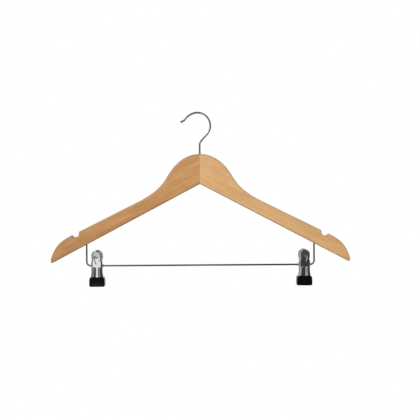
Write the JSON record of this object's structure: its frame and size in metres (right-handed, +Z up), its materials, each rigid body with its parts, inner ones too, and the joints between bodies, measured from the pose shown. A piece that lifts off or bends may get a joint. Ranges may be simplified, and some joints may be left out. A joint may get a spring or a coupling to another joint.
{
  "type": "clothes hanger",
  "caption": "Wooden clothes hanger with sloping notched shoulders, a swivelling wire hook, a trouser bar and sprung clips with rubber pads that slide along the bar.",
  "frame": {"origin": "on the hook's swivel axis, at the inner face of the hook's bight, where a rail carries the hanger", "axes": "+X along the trouser bar towards the right arm, +Y from the front to the back, +Z up along the swivel axis"},
  "size_m": [0.445, 0.0198, 0.2597],
  "materials": {
    "left_board_wood": "clear satin lacquer over orange-brown wood, grain along the arm",
    "right_board_wood": "clear satin lacquer over lighter tan wood, grain along the arm",
    "hook_wire": "bright plated round wire",
    "bar_wire": "bright plated round wire",
    "zinc_plated_steel": "dull zinc plating",
    "rivet_steel": "bright plated tube",
    "chromed_sheet": "bright chrome plating on pressed sheet",
    "spring_wire": "plain spring steel",
    "black_rubber": "smooth, slightly glossy black rubber"
  },
  "bodies": {
    "hook": {"hook": "hook_wire", "hook_nut": "zinc_plated_steel"},
    "hanger": {"left_arm": "left_board_wood", "right_arm": "right_board_wood", "trouser_bar": "bar_wire", "hook_washer": "zinc_plated_steel"},
    "left_clip_slider": {"left_clip_pivot_tube": "rivet_steel"},
    "left_clip_back": {"left_clip_back_jaw": "chromed_sheet", "left_clip_back_pad": "black_rubber", "left_clip_spring": "spring_wire"},
    "left_clip_front": {"left_clip_front_jaw": "chromed_sheet", "left_clip_front_pad": "black_rubber"},
    "right_clip_slider": {"right_clip_pivot_tube": "rivet_steel"},
    "right_clip_back": {"right_clip_back_jaw": "chromed_sheet", "right_clip_back_pad": "black_rubber", "right_clip_spring": "spring_wire"},
    "right_clip_front": {"right_clip_front_jaw": "chromed_sheet", "right_clip_front_pad": "black_rubber"}
  },
  "joints": [
    {"name": "hook_swivel", "type": "hinge", "parent": "hook", "child": "hanger", "pos_m": [0, 0, -0.08], "axis": [0, 0, 1], "continuous": true},
    {"name": "left_clip_slide", "type": "slide", "parent": "hanger", "child": "left_clip_slider", "axis": [1, 0, 0], "range_m": [0, 0.1419]},
    {"name": "left_clip_swing", "type": "hinge", "parent": "left_clip_slider", "child": "left_clip_back", "pos_m": [-0.1539, 0, -0.22549], "axis": [1, 0, 0], "continuous": true},
    {"name": "left_clip_open", "type": "hinge", "parent": "left_clip_back", "child": "left_clip_front", "pos_m": [-0.1539, 0, -0.22549], "axis": [-1, 0, 0], "range_deg": [0, 32], "stiffness_Nm_per_rad": 0.09, "springref_deg": -40.11, "deforming": ["left_clip_spring"]},
    {"name": "right_clip_slide", "type": "slide", "parent": "hanger", "child": "right_clip_slider", "axis": [-1, 0, 0], "range_m": [0, 0.1425]},
    {"name": "right_clip_swing", "type": "hinge", "parent": "right_clip_slider", "child": "right_clip_back", "pos_m": [0.1545, 0, -0.22549], "axis": [1, 0, 0], "continuous": true},
    {"name": "right_clip_open", "type": "hinge", "parent": "right_clip_back", "child": "right_clip_front", "pos_m": [0.1545, 0, -0.22549], "axis": [-1, 0, 0], "range_deg": [0, 32], "stiffness_Nm_per_rad": 0.09, "springref_deg": -40.11, "deforming": ["right_clip_spring"]}
  ]
}
